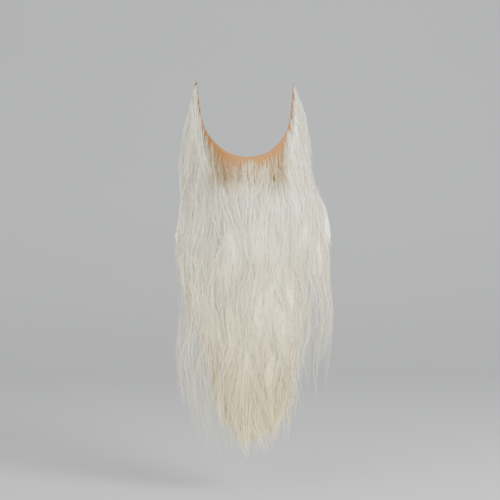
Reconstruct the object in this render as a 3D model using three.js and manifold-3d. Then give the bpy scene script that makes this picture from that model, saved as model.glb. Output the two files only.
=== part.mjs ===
// A long white false beard, held in the form that it has when it is worn.
// Hair is knotted into a thin flesh-coloured net that follows the lower face, from one sideburn
// under the lip and chin to the other, and hangs from it in soft locks over the chest.
// Millimetres, +Z up. The wearer looks along -Y, and left and right are as seen from the front.
// The origin is on the net's inner face, at the front of the chin.

import * as THREE from "three";
import Module from "manifold-3d";

const wasm = await Module();
wasm.setup();

// The net
const faceHalfWidth = 75; // middle of the face to the net's inner face beside the ear
const jawDepth = 96; // front of the chin back to the net's rear edge in front of the ear
const sideburnHeight = 136; // front of the chin up to the top of the net
const chinDrop = 16; // front of the chin down to the net's lowest point
const netThickness = 1;
const netMargin = 9; // bare net between its front edge and the first hair
const rearMargin = 1.5; // bare net along its rear edge

// The hair
const fallLength = 425; // front of the chin down to the longest tips
const fallHalfWidth = 115; // half the width of the hair over the chest
const fallDepth = 26; // front to back through the hair over the chest
const chestCurve = 20; // how far the sides of the fall lie behind its middle
const bedThickness = 3.2; // knotted roots on the net, under the locks
const hairSweep = 2.4; // sideways wave that all the locks share
const waveLength = 165;
const lockStray = 1.6; // how far a lock strays sideways from its neighbours' lines
const lockStagger = 2.6; // how far a lock stands in front of or behind its neighbours
const throatDepth = 16; // front to back through the hair that hangs from under the chin
const tuftHalfWidth = 9; // hair under the lip
const tuftLength = 46;
const tuftDepth = 7;
const tuftOffset = 3; // middle of the tuft from the middle of the face

// Clearances
const seatGap = 0.35; // net to the hair knotted on it
const bundleGap = 0.4; // one bundle of hair to the next

// Fineness of the lofts
const netStations = 14; // from the chin to the top of one sideburn
const netRibs = 6; // from the front edge to the rear edge
const lockSides = 6;
const lockRows = 11;
const tuftRows = 7;

// The net's four lines, each from the middle of the face to the top of the right sideburn. side
// is a share of faceHalfWidth and back of jawDepth. height is a share of sideburnHeight above
// the front of the chin and of chinDrop below it.
const netTable = {
  frontEdge: [
    { side: 0, back: 0.05, height: 0.155 },
    { side: 0.21, back: 0.065, height: 0.173 },
    { side: 0.39, back: 0.125, height: 0.213 },
    { side: 0.56, back: 0.235, height: 0.29 },
    { side: 0.7, back: 0.385, height: 0.382 },
    { side: 0.807, back: 0.545, height: 0.5 },
    { side: 0.887, back: 0.7, height: 0.7 },
    { side: 0.945, back: 0.81, height: 1 },
  ],
  jawFace: [
    { side: 0, back: 0, height: 0 },
    { side: 0.215, back: 0.028, height: 0 },
    { side: 0.43, back: 0.11, height: 0.02 },
    { side: 0.64, back: 0.28, height: 0.09 },
    { side: 0.805, back: 0.5, height: 0.225 },
    { side: 0.89, back: 0.67, height: 0.405 },
    { side: 0.94, back: 0.79, height: 0.645 },
    { side: 0.96, back: 0.845, height: 0.995 },
  ],
  jawUnderside: [
    { side: 0, back: 0.12, height: -0.82 },
    { side: 0.215, back: 0.14, height: -0.8 },
    { side: 0.44, back: 0.22, height: -0.65 },
    { side: 0.68, back: 0.42, height: -0.15 },
    { side: 0.87, back: 0.68, height: 0.1 },
    { side: 0.945, back: 0.84, height: 0.31 },
    { side: 0.975, back: 0.875, height: 0.585 },
    { side: 0.975, back: 0.88, height: 0.99 },
  ],
  rearEdge: [
    { side: 0, back: 0.44, height: -1 },
    { side: 0.23, back: 0.46, height: -0.97 },
    { side: 0.47, back: 0.54, height: -0.85 },
    { side: 0.7, back: 0.68, height: -0.5 },
    { side: 0.9, back: 0.88, height: 0.04 },
    { side: 0.975, back: 1, height: 0.25 },
    { side: 1, back: 0.96, height: 0.53 },
    { side: 0.99, back: 0.915, height: 0.98 },
  ],
};

// The hair as one curtain, from the top of the sideburns down to the tips. height is a share of
// sideburnHeight above the chin and of fallLength below it. jaw says how much the row follows the
// width and depth of the jaw rather than of the chest. left and right are shares of the half
// width, rear of the depth at the curtain's edges, and front of fallDepth in its middle.
const curtainTable = [
  { height: 1, jaw: 1, left: 1.05, right: 1.03, rear: 0.9, front: 1.2 },
  { height: 0.7, jaw: 1, left: 1.1, right: 1.07, rear: 0.965, front: 0.54 },
  { height: 0.37, jaw: 1, left: 1.175, right: 1.15, rear: 0.96, front: 0.07 },
  { height: 0.12, jaw: 1, left: 1.23, right: 1.21, rear: 0.93, front: 0.07 },
  { height: 0, jaw: 1, left: 1.235, right: 1.25, rear: 0.885, front: 0.27 },
  { height: -0.06, jaw: 0.6, left: 1.04, right: 1.13, rear: 1.12, front: 0.44 },
  { height: -0.106, jaw: 0.35, left: 0.935, right: 1.1, rear: 1.25, front: 0.52 },
  { height: -0.165, jaw: 0.15, left: 0.88, right: 1.055, rear: 1.25, front: 0.57 },
  { height: -0.235, jaw: 0, left: 0.87, right: 1.03, rear: 1.3, front: 0.58 },
  { height: -0.33, jaw: 0, left: 0.9, right: 1.045, rear: 0.85, front: 0.56 },
  { height: -0.47, jaw: 0, left: 0.915, right: 1.06, rear: 0.6, front: 0.52 },
  { height: -0.61, jaw: 0, left: 0.9, right: 1.05, rear: 0.5, front: 0.48 },
  { height: -0.8, jaw: 0, left: 0.83, right: 1.02, rear: 0.45, front: 0.42 },
  { height: -1, jaw: 0, left: 0.68, right: 0.98, rear: 0.45, front: 0.36 },
];
const curtainRoundness = 2.1; // how squarely the curtain turns back towards its edges

// Where the locks start, as a share of sideburnHeight, by their place across the curtain: 0 is
// its middle and 1 its edge.
const hairlineTable = [
  { across: 0, height: 0.095 },
  { across: 0.17, height: 0.075 },
  { across: 0.33, height: 0.095 },
  { across: 0.45, height: 0.165 },
  { across: 0.55, height: 0.25 },
  { across: 0.64, height: 0.33 },
  { across: 0.72, height: 0.42 },
  { across: 0.8, height: 0.56 },
  { across: 0.88, height: 0.76 },
  { across: 0.94, height: 0.93 },
  { across: 1, height: 0.95 },
];

// How far down the locks reach, as a share of fallLength, and how far along they start to thin.
const tipTable = [
  { across: -1, reach: 0.94, thinning: 0.45 },
  { across: -0.75, reach: 1, thinning: 0.5 },
  { across: -0.5, reach: 0.99, thinning: 0.7 },
  { across: -0.25, reach: 0.97, thinning: 0.8 },
  { across: 0, reach: 0.96, thinning: 0.85 },
  { across: 0.25, reach: 0.94, thinning: 0.8 },
  { across: 0.5, reach: 0.9, thinning: 0.75 },
  { across: 0.68, reach: 0.78, thinning: 0.6 },
  { across: 0.8, reach: 0.74, thinning: 0.55 },
  { across: 0.9, reach: 0.84, thinning: 0.6 },
  { across: 1, reach: 0.8, thinning: 0.6 },
];

// Thickness and width of a lock from its root to its full body.
const rootTable = [
  { along: 0, thick: 0.16, wide: 0.94 },
  { along: 0.06, thick: 0.36, wide: 1 },
  { along: 0.14, thick: 0.62, wide: 1 },
  { along: 0.24, thick: 0.86, wide: 1 },
  { along: 0.36, thick: 1, wide: 1 },
];
const tipFullness = 1.35; // how full a lock stays towards its tip
const tipWidth = 0.1; // width of the tip itself, as a share of the lock's
const edgeThinning = 0.5; // how much thinner a lock is at the curtain's edge than in its middle
const lockOverlap = 1.66; // width of a lock over the spacing between locks
const lockVariety = 0.22; // how much the locks differ in width and place
const tipVariety = 0.12; // how much their lengths differ

// The hair under the chin: its middle behind the middle of the curtain and its half thickness,
// as shares of throatDepth. height is a share of fallLength.
const throatTable = [
  { height: -0.038, back: 2.2, half: 0.75 },
  { height: -0.07, back: 1.75, half: 0.7 },
  { height: -0.12, back: 1.45, half: 0.56 },
  { height: -0.2, back: 1.35, half: 0.5 },
  { height: -0.45, back: 1.32, half: 0.5 },
  { height: -0.62, back: 1.28, half: 0.42 },
  { height: -0.78, back: 1.2, half: 0.12 },
];
const throatReach = 0.8; // length of the hair under the chin, as a share of the curtain's

// The bundles of hair: their limits across the curtain and along the net, as shares, and the
// number of locks in each.
const chinBundle = { name: "chin_fall", from: -0.34, to: 0.34, netFrom: -0.3, netTo: 0.3, locks: 7 };
const sideBundles = [
  { name: "jaw_fall_left", from: -0.7, to: -0.34, netFrom: -0.68, netTo: -0.3, locks: 4 },
  { name: "jaw_fall_right", from: 0.34, to: 0.7, netFrom: 0.3, netTo: 0.68, locks: 4 },
  { name: "sideburn_fall_left", from: -1, to: -0.7, netFrom: -1, netTo: -0.68, locks: 4 },
  { name: "sideburn_fall_right", from: 0.7, to: 1, netFrom: 0.68, netTo: 1, locks: 4 },
];
const throatBundle = { name: "throat_fall", from: -0.44, to: 0.44, netFrom: -0.3, netTo: 0.3, locks: 5 };
const chinBedReach = 0.5; // share of the way across the net where the throat's roots begin
const tuftLocks = 3;

// Finishes
const netFinish = new THREE.MeshStandardMaterial({ color: 0xc08a5e, roughness: 0.85, metalness: 0 });
const hairFinish = new THREE.MeshStandardMaterial({ color: 0xd8d4c6, roughness: 0.6, metalness: 0 });

const mix = THREE.MathUtils.lerp;
const clamp = THREE.MathUtils.clamp;

// A column of a table, at a place between its rows, on a smooth curve through the rows.
function readTable(table, key, at, column) {
  const last = table.length - 1;
  const rows = table[last][key] > table[0][key] ? table : [...table].reverse();
  if (at <= rows[0][key]) return rows[0][column];
  if (at >= rows[last][key]) return rows[last][column];
  const slope = (i) => {
    const [before, after] = [rows[Math.max(i - 1, 0)], rows[Math.min(i + 1, last)]];
    return (after[column] - before[column]) / (after[key] - before[key]);
  };
  const i = rows.findIndex((row) => row[key] > at) - 1;
  const span = rows[i + 1][key] - rows[i][key];
  const t = (at - rows[i][key]) / span;
  const rest = 1 - t;
  const ends = rows[i][column] * (1 + 2 * t) * rest * rest + rows[i + 1][column] * (3 - 2 * t) * t * t;
  return ends + slope(i) * span * t * rest * rest - slope(i + 1) * span * t * t * rest;
}

// A closed solid through rings of points, with a fan over each end.
function loft(rings) {
  const sides = rings[0].length;
  const end = (rings.length - 1) * sides;
  const middle = (ring) => ring.reduce((sum, p) => sum.add(p), new THREE.Vector3()).divideScalar(sides);
  const points = [...rings.flat(), middle(rings[0]), middle(rings[rings.length - 1])];
  const [firstMiddle, lastMiddle] = [points.length - 2, points.length - 1];
  const faces = [];
  for (let j = 0; j < sides; j++) {
    const k = (j + 1) % sides;
    faces.push(firstMiddle, k, j, lastMiddle, end + j, end + k);
    for (let a = 0; a < end; a += sides) {
      const b = a + sides;
      faces.push(a + j, a + k, b + j, a + k, b + k, b + j);
    }
  }
  return closedSolid(points, faces);
}

// The faces are turned over where they enclose a negative volume.
function closedSolid(points, faces) {
  let volume = 0;
  for (let i = 0; i < faces.length; i += 3) {
    const [a, b, c] = faces.slice(i, i + 3).map((corner) => points[corner]);
    volume += a.dot(new THREE.Vector3().crossVectors(b, c));
  }
  const outward = volume > 0 ? faces : [...faces].reverse();
  return new wasm.Manifold(
    new wasm.Mesh({
      numProp: 3,
      vertProperties: new Float32Array(points.flatMap((p) => p.toArray())),
      triVerts: new Uint32Array(outward),
    }),
  );
}

// One of the net's four lines, from the left sideburn over the chin to the right one.
function netCurve(rows) {
  const points = rows.map((row) => {
    const reach = row.height > 0 ? sideburnHeight : chinDrop;
    return new THREE.Vector3(row.side * faceHalfWidth, row.back * jawDepth, row.height * reach);
  });
  const mirrored = points.slice(1).map((p) => new THREE.Vector3(-p.x, p.y, p.z));
  return new THREE.CatmullRomCurve3([...mirrored.reverse(), ...points], false, "catmullrom", 0.5);
}

const netCurves = Object.values(netTable).map(netCurve);

// The line across the net's inner face, from its front edge to its rear edge. along runs from -1
// at the left sideburn over 0 at the chin to 1 at the right sideburn.
function netLine(along) {
  const line = new THREE.CatmullRomCurve3(netCurves.map((curve) => curve.getPoint((along + 1) / 2)));
  line.arcLengthDivisions = 40;
  return line;
}

// A point at a distance out from the net's inner face. Where it is on an edge of the net, grow
// moves it past that edge.
function netPoint(along, across, out, grow = 0) {
  const step = 0.01;
  const line = netLine(along);
  const next = netLine(Math.min(along + step, 1)).getPointAt(across);
  const previous = netLine(Math.max(along - step, -1)).getPointAt(across);
  const lengthways = next.sub(previous).normalize();
  const crossways = line.getTangentAt(across);
  const normal = new THREE.Vector3().crossVectors(crossways, lengthways).normalize();
  const point = line.getPointAt(across).addScaledVector(normal, out);
  if (Math.abs(along) === 1) point.addScaledVector(lengthways, grow * along);
  if (across === 0 || across === 1) point.addScaledVector(crossways, grow * (2 * across - 1));
  return point;
}

// A solid over a patch of the net. from and to limit it along the net, and front and rear across
// it. ringAt turns a station and the places across it into the points round the solid there.
function netPatch(from, to, front, rear, ringAt) {
  const stations = Math.max(4, Math.round(netStations * (to - from)));
  const rings = [];
  for (let i = 0; i <= stations; i++) {
    const along = mix(from, to, i / stations);
    const places = [];
    for (let j = 0; j < netRibs; j++) {
      places.push(mix(front(along), rear(along), j / (netRibs - 1)));
    }
    rings.push(ringAt(along, places));
  }
  return loft(rings);
}

// The ring of a wall between two distances out from the net's inner face.
function wallRing(inner, outer) {
  return (along, places) => [
    ...places.map((across) => netPoint(along, across, outer)),
    ...[...places].reverse().map((across) => netPoint(along, across, inner)),
  ];
}

const netFront = () => 0;
const netRear = () => 1;
const marginAt = (along) => netMargin * (1 - 0.7 * Math.abs(along));
const hairFront = (along) => marginAt(along) / netLine(along).getLength();
const hairRear = (along) => 1 - rearMargin / netLine(along).getLength();

function makeNet() {
  return netPatch(-1, 1, netFront, netRear, wallRing(0, netThickness));
}

// The space of the net, with its clearance, and of the jaw inside it, which no hair enters.
function makeHeadSpace() {
  const heart = new THREE.Vector3(0, jawDepth, sideburnHeight / 2);
  const ringAt = (along, places) => [
    ...places.map((across) => netPoint(along, across, netThickness + seatGap, seatGap)),
    netPoint(along, 1, -seatGap, seatGap),
    ...[...places].reverse().map((across) => netPoint(along, across, 0).lerp(heart, 0.5)),
    netPoint(along, 0, -seatGap, seatGap),
  ];
  return netPatch(-1, 1, netFront, netRear, ringAt);
}

// A point of the curtain of hair: across from -1 to 1, at height z, moved out by a distance.
function curtainPoint(across, z, out) {
  const share = z > 0 ? z / sideburnHeight : z / fallLength;
  const read = (column) => readTable(curtainTable, "height", share, column);
  const jaw = read("jaw");
  const rear = read("rear") * mix(chestCurve, jawDepth, jaw);
  const front = -read("front") * fallDepth;
  const width = mix(fallHalfWidth, faceHalfWidth, jaw);
  const [left, right] = [read("left") * width, read("right") * width];
  const wave = (hairSweep / fallHalfWidth) * (1 - jaw);
  const at = (value) => {
    const swept = value + wave * Math.sin((2 * Math.PI * z) / waveLength + 4 * value);
    const back = mix(front, rear, Math.pow(Math.abs(value), curtainRoundness));
    return new THREE.Vector3(swept * (value < 0 ? left : right), back, z);
  };
  const step = 0.02;
  const tangent = at(across + step).sub(at(across - step)).normalize();
  return at(across).add(new THREE.Vector3(tangent.y * out, -tangent.x * out, 0));
}

function hairlineAt(across) {
  return sideburnHeight * readTable(hairlineTable, "across", Math.abs(across), "height");
}

// A lock's half width and half thickness, as shares of their largest, at a place along it.
function lockShape(along, thinning) {
  const towardsTip = clamp((along - thinning) / (1 - thinning), 0, 1);
  const taper = mix(tipWidth, 1, Math.pow(1 - Math.pow(towardsTip, tipFullness), 0.8));
  return {
    wide: readTable(rootTable, "along", along, "wide") * taper,
    thick: readTable(rootTable, "along", along, "thick") * taper,
  };
}

// A number from -1 to 1 that differs from lock to lock, always the same for the same lock.
function vary(place, trait) {
  const spread = Math.sin(place * 127.1 + trait * 311.7) * 43758.5;
  return 2 * (spread - Math.floor(spread)) - 1;
}

// The locks of a bundle, which never pass its limits. placeOf turns a place on a lock into a
// point, and grow fattens the locks.
function makeLocks(bundle, grow, placeOf) {
  const spacing = (bundle.to - bundle.from) / bundle.locks;
  const gap = (bundleGap / 2 - grow) / fallHalfWidth;
  const locks = [];
  for (let i = 0; i < bundle.locks; i++) {
    const seed = bundle.from + i;
    const middle = bundle.from + spacing * (i + 0.5 + 0.5 * lockVariety * vary(seed, 1));
    const width = spacing * lockOverlap * (1 + lockVariety * vary(seed, 2));
    const reach = readTable(tipTable, "across", middle, "reach") * (1 - tipVariety * Math.abs(vary(seed, 3)));
    const thinning = readTable(tipTable, "across", middle, "thinning");
    const rings = [];
    for (let k = 0; k <= lockRows; k++) {
      const along = k / lockRows;
      const shape = lockShape(along, thinning);
      const settled = Math.min(3 * along, 1);
      const stray = (lockStray / fallHalfWidth) * settled * Math.sin(2 * Math.PI * (along + vary(seed, 4)));
      const stagger = lockStagger * settled * (i % 2 ? 1 : -1) * (1 + 0.3 * vary(seed, 5));
      const ring = [];
      for (let j = 0; j < lockSides; j++) {
        const turn = (2 * Math.PI * j) / lockSides;
        const spread = ((width / 2) * shape.wide + grow / fallHalfWidth) * Math.cos(turn);
        const across = clamp(middle + stray + spread, bundle.from + gap, bundle.to - gap);
        ring.push(placeOf({ across, along, reach, thick: shape.thick, side: Math.sin(turn), stagger }));
      }
      rings.push(ring);
    }
    locks.push(loft(rings));
  }
  return locks;
}

// The knotted roots that cover the net under a bundle.
function makeBed(bundle, front, rear, grow) {
  const gap = (bundleGap / 2 - grow) / (2 * jawDepth);
  const from = Math.max(bundle.netFrom + gap, -1);
  const to = Math.min(bundle.netTo - gap, 1);
  const top = netThickness + seatGap + bedThickness + grow;
  const grownFront = (along) => front(along) - grow / netLine(along).getLength();
  const grownRear = (along) => rear(along) + grow / netLine(along).getLength();
  return netPatch(from, to, grownFront, grownRear, wallRing(netThickness / 2, top));
}

function makeBundle(bundle, grow = 0) {
  const placeOf = ({ across, along, reach, thick, side, stagger }) => {
    const z = mix(hairlineAt(across), -fallLength * reach, along);
    const half = (fallDepth / 2 - lockStagger) * thick * (1 - edgeThinning * across * across);
    return curtainPoint(across, z, (half + grow) * side + stagger);
  };
  const rear = bundle === chinBundle ? () => chinBedReach : hairRear;
  const bed = makeBed(bundle, hairFront, rear, grow);
  return wasm.Manifold.union([bed, ...makeLocks(bundle, grow, placeOf)]);
}

// The hair that hangs from under the chin, behind the rest.
function makeThroatFall() {
  const placeOf = ({ across, along, reach, side }) => {
    const height = mix(throatTable[0].height, -throatReach * reach, along);
    const read = (column) => throatDepth * readTable(throatTable, "height", height, column);
    return curtainPoint(across, height * fallLength, -read("back") + read("half") * side);
  };
  const bed = makeBed(throatBundle, () => chinBedReach, hairRear, 0);
  return wasm.Manifold.union([bed, ...makeLocks(throatBundle, 0, placeOf)]);
}

// The short tuft between the lower lip and the chin.
function makeTuft(grow = 0) {
  const root = netPoint(0, 0.03, netThickness + seatGap);
  const locks = [];
  for (let i = 0; i < tuftLocks; i++) {
    const side = (i - (tuftLocks - 1) / 2) * tuftHalfWidth * 0.62;
    const rings = [];
    for (let k = 0; k <= tuftRows; k++) {
      const along = k / tuftRows;
      const shape = mix(0.12, 1, Math.sin(Math.PI * Math.pow(mix(0.05, 1, along), 0.8)));
      const z = root.z - along * tuftLength;
      const front = curtainPoint(0, z, fallDepth * 0.45 * along).y;
      const stand = mix(root.y - tuftDepth * 0.3, front, Math.sqrt(along));
      const ring = [];
      for (let j = 0; j < lockSides; j++) {
        const turn = (2 * Math.PI * j) / lockSides;
        const x = side * (1 - 0.35 * along) + (shape * tuftHalfWidth * 0.5 + grow) * Math.cos(turn);
        const y = stand + ((shape * tuftDepth) / 2 + grow) * Math.sin(turn);
        ring.push(new THREE.Vector3(tuftOffset + x, y, z));
      }
      rings.push(ring);
    }
    locks.push(loft(rings));
  }
  return wasm.Manifold.union(locks);
}

// A solid without the chips that a cut leaves along an edge.
function withoutChips(solid) {
  const chipVolume = 30;
  return wasm.Manifold.union(solid.decompose().filter((body) => body.volume() > chipVolume));
}

function toMesh(name, solid, finish) {
  const { vertProperties, triVerts } = solid.getMesh();
  const geometry = new THREE.BufferGeometry();
  geometry.setAttribute("position", new THREE.BufferAttribute(vertProperties, 3));
  geometry.setIndex(new THREE.BufferAttribute(triVerts, 1));
  geometry.computeVertexNormals();
  const mesh = new THREE.Mesh(geometry, finish);
  mesh.name = name;
  return mesh;
}

const beard = new THREE.Group();
beard.add(toMesh("lace_net", makeNet(), netFinish));

const headSpace = makeHeadSpace();
beard.add(toMesh("lip_tuft", withoutChips(makeTuft().subtract(headSpace)), hairFinish));

// Each bundle gives way to those before it.
let taken = headSpace.add(makeTuft(bundleGap));
for (const bundle of [chinBundle, ...sideBundles]) {
  beard.add(toMesh(bundle.name, withoutChips(makeBundle(bundle).subtract(taken)), hairFinish));
  taken = taken.add(makeBundle(bundle, bundleGap));
}
beard.add(toMesh(throatBundle.name, withoutChips(makeThroatFall().subtract(taken)), hairFinish));

export default beard;
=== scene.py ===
# %% [markdown]
# # A long false beard
#
# A costume beard is fine crimped hair, knotted by hand into a thin flesh-coloured net that is glued
# along the jaw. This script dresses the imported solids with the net, the dense mass of each bundle of
# hair and the loose hairs on it. All lengths are in metres, +Z is up, and the wearer looks along -Y.

import math

import bpy
import numpy as np
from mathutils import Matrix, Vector


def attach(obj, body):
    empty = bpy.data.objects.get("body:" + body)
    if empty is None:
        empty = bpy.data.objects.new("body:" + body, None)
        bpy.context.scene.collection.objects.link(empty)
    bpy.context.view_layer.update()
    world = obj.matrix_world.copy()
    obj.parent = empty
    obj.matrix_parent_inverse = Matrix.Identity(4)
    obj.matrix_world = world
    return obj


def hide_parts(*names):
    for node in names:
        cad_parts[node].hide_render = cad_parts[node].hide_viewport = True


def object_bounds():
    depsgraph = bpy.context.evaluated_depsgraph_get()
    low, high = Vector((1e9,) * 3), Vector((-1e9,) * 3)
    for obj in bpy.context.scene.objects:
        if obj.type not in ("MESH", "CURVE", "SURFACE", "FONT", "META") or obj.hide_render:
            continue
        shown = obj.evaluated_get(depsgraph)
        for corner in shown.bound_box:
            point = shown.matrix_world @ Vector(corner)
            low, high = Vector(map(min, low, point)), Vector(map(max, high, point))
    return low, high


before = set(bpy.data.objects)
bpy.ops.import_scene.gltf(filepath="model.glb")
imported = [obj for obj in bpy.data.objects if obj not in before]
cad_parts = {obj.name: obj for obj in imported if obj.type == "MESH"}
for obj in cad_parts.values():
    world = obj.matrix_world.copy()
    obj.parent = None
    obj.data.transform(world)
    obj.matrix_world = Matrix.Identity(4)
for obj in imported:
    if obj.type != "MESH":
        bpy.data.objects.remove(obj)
cad_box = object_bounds()
print("nodes:", ", ".join(sorted(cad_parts)))
print("solid model's box:", cad_box)

# %% [markdown]
# ## The camera
#
# The photograph is taken level with the chest, from straight in front and a little to the wearer's
# right, with a long lens. The beard fills most of its height.

# %% Camera
VIEW_CENTRE = Vector((0.0028, 0.0, -0.111))
VIEW_WIDTH = 0.710
VIEW_AZIMUTH = math.radians(-3)
VIEW_ELEVATION = math.radians(1)
LENS = 90
SENSOR = 36

camera = bpy.data.objects.new("camera", bpy.data.cameras.new("camera"))
bpy.context.scene.collection.objects.link(camera)
bpy.context.scene.camera = camera
camera.data.lens = LENS
camera.data.sensor_width = SENSOR
towards_camera = Vector(
    (
        math.sin(VIEW_AZIMUTH) * math.cos(VIEW_ELEVATION),
        -math.cos(VIEW_AZIMUTH) * math.cos(VIEW_ELEVATION),
        math.sin(VIEW_ELEVATION),
    )
)
camera.location = VIEW_CENTRE + towards_camera * VIEW_WIDTH * LENS / SENSOR
camera.rotation_euler = (-towards_camera).to_track_quat("-Z", "Y").to_euler()
print("camera at", [round(v, 3) for v in camera.location])

# %% [markdown]
# ## The curtain of hair
#
# Once it has left the net the hair hangs as one curtain, which is wide and curved round the jaw at
# the top and flatter over the chest. It could be drawn lock by lock, but then each lock would need
# numbers of its own. Instead one table gives the curtain's width and depth by height, as shares of
# the sizes above it, and all the hair follows it.

# %% Sizes of the beard
FACE_HALF_WIDTH = 0.075
JAW_DEPTH = 0.096
SIDEBURN_HEIGHT = 0.136
CHIN_DROP = 0.016
FALL_LENGTH = 0.425
FALL_HALF_WIDTH = 0.115
FALL_DEPTH = 0.026
CHEST_CURVE = 0.020
HAIR_SWEEP = 0.0024
WAVE_LENGTH = 0.165
ROUNDNESS = 2.1
EDGE_THINNING = 0.5

CURTAIN_COLUMNS = ("height", "jaw", "left", "right", "rear", "front")
CURTAIN_ROWS = (
    (1, 1, 1.05, 1.03, 0.9, 1.2),
    (0.7, 1, 1.1, 1.07, 0.965, 0.54),
    (0.37, 1, 1.175, 1.15, 0.96, 0.07),
    (0.12, 1, 1.23, 1.21, 0.93, 0.07),
    (0, 1, 1.235, 1.25, 0.885, 0.27),
    (-0.06, 0.6, 1.04, 1.13, 1.12, 0.44),
    (-0.106, 0.35, 0.935, 1.1, 1.25, 0.52),
    (-0.165, 0.15, 0.88, 1.055, 1.25, 0.57),
    (-0.235, 0, 0.87, 1.03, 1.3, 0.58),
    (-0.33, 0, 0.9, 1.045, 0.85, 0.56),
    (-0.47, 0, 0.915, 1.06, 0.6, 0.52),
    (-0.61, 0, 0.9, 1.05, 0.5, 0.48),
    (-0.8, 0, 0.83, 1.02, 0.45, 0.42),
    (-1, 0, 0.68, 0.98, 0.45, 0.36),
)
print(f"from {SIDEBURN_HEIGHT} m above the chin to {FALL_LENGTH} m below it")

# %% [markdown]
# ## Reading the tables
#
# Hair has no corners, so a smooth curve runs through each column of a table. The curve keeps to the
# rows it is given, which makes the outline easy to match to the photograph height by height.


# %% Smooth curves through tables
def mix(a, b, share):
    return a + (b - a) * share


def smoothstep(t):
    t = np.clip(t, 0, 1)
    return t * t * (3 - 2 * t)


def curve_through(xs, ys):
    """A smooth curve through points in order of x, level beyond its ends."""
    order = np.argsort(xs)
    xs, ys = np.array(xs, float)[order], np.array(ys, float)[order]
    slopes = np.empty_like(ys)
    slopes[1:-1] = (ys[2:] - ys[:-2]) / (xs[2:] - xs[:-2])
    slopes[0] = (ys[1] - ys[0]) / (xs[1] - xs[0])
    slopes[-1] = (ys[-1] - ys[-2]) / (xs[-1] - xs[-2])

    def read(at):
        at = np.clip(at, xs[0], xs[-1])
        i = np.clip(np.searchsorted(xs, at, side="right") - 1, 0, len(xs) - 2)
        span = xs[i + 1] - xs[i]
        t = (at - xs[i]) / span
        rest = 1 - t
        ends = ys[i] * (1 + 2 * t) * rest**2 + ys[i + 1] * (3 - 2 * t) * t**2
        return ends + slopes[i] * span * t * rest**2 - slopes[i + 1] * span * t**2 * rest

    return read


def curves_of(names, rows):
    """Curves through the later columns of a table, by the values in its first column."""
    table = dict(zip(names, zip(*rows)))
    return [curve_through(table[names[0]], table[name]) for name in names[1:]]


curtain_curves = curves_of(CURTAIN_COLUMNS, CURTAIN_ROWS)
print("curves of the curtain:", ", ".join(CURTAIN_COLUMNS[1:]))

# %% [markdown]
# ## Places in the curtain
#
# Every wisp is placed by three numbers: how far it is across the curtain, its height, and how far it
# stands out from the curtain's middle. Working in these numbers keeps the wisps side by side where
# the hair bends back over the shoulders.


# %% Points on the curtain
def curtain(across, z, out=0.0):
    """Points on the curtain with the directions along it and out of it. across is -1 to 1."""
    share = np.where(z > 0, z / SIDEBURN_HEIGHT, z / FALL_LENGTH)
    jaw, left, right, rear, front = (curve(share) for curve in curtain_curves)
    rear = rear * mix(CHEST_CURVE, JAW_DEPTH, jaw)
    front = -front * FALL_DEPTH
    width = mix(FALL_HALF_WIDTH, FACE_HALF_WIDTH, jaw)
    sweep = HAIR_SWEEP / FALL_HALF_WIDTH * (1 - jaw)

    def at(value):
        swept = value + sweep * np.sin(2 * np.pi * z / WAVE_LENGTH + 4 * value)
        back = mix(front, rear, np.abs(value) ** ROUNDNESS)
        return np.stack([swept * np.where(value < 0, left, right) * width, back, z], -1)

    side = at(across + 0.02) - at(across - 0.02)
    side /= np.linalg.norm(side, axis=-1, keepdims=True)
    outwards = np.stack([side[..., 1], -side[..., 0], np.zeros_like(z)], -1)
    return at(across) + outwards * np.asarray(out)[..., None], side, outwards


for z in (0.1, 0.0, -0.1, -0.3):
    edges = [curtain(np.array(a), np.array(z))[0] for a in (-1.0, 1.0)]
    print(f"width of the curtain at {z} m: {edges[1][0] - edges[0][0]:.3f} m")

# %% [markdown]
# ## The net's shape
#
# A beard net is fine tulle that is stretched over the jaw and glued down. It could be a flat sheet
# draped over a head, but the head isn't part of the beard. So its shape is drawn by four lines from
# sideburn to sideburn: the front edge, the face of the jaw, its underside and the rear edge. Smooth
# curves run along the lines and across them.

# %% Lines of the net
NET_LINES = (
    ((0, 0.05, 0.155), (0.21, 0.065, 0.173), (0.39, 0.125, 0.213), (0.56, 0.235, 0.29),
     (0.7, 0.385, 0.382), (0.807, 0.545, 0.5), (0.887, 0.7, 0.7), (0.945, 0.81, 1)),
    ((0, 0, 0), (0.215, 0.028, 0), (0.43, 0.11, 0.02), (0.64, 0.28, 0.09),
     (0.805, 0.5, 0.225), (0.89, 0.67, 0.405), (0.94, 0.79, 0.645), (0.96, 0.845, 0.995)),
    ((0, 0.12, -0.82), (0.215, 0.14, -0.8), (0.44, 0.22, -0.65), (0.68, 0.42, -0.15),
     (0.87, 0.68, 0.1), (0.945, 0.84, 0.31), (0.975, 0.875, 0.585), (0.975, 0.88, 0.99)),
    ((0, 0.44, -1), (0.23, 0.46, -0.97), (0.47, 0.54, -0.85), (0.7, 0.68, -0.5),
     (0.9, 0.88, 0.04), (0.975, 1, 0.25), (1, 0.96, 0.53), (0.99, 0.915, 0.98)),
)
NET_WALL = (0.0002, 0.0007)
print(len(NET_LINES), "lines of", len(NET_LINES[0]), "points on each side")

# %% [markdown]
# ## A surface through the lines
#
# A curve across the four lines, at each place along them, gives the cloth between them. It passes
# through every drawn point, so a point of the table is a point of the net.


# %% Surface of the net
def along_line(rows, t):
    """Points at t, from 0 to 1, on smooth lines through rows of points: rows[k] is (n, 3)."""
    last = len(rows) - 1
    i = np.clip((t * last).astype(int), 0, last - 1)
    f = (t * last - i)[:, None]
    padded = np.concatenate([[2 * rows[0] - rows[1]], rows, [2 * rows[-1] - rows[-2]]])
    a, b, c, d = (padded[i + k, np.arange(len(t))] for k in range(4))
    return 0.5 * (2 * b + (c - a) * f + (2 * a - 5 * b + 4 * c - d) * f**2 + (3 * b - a - 3 * c + d) * f**3)


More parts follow.
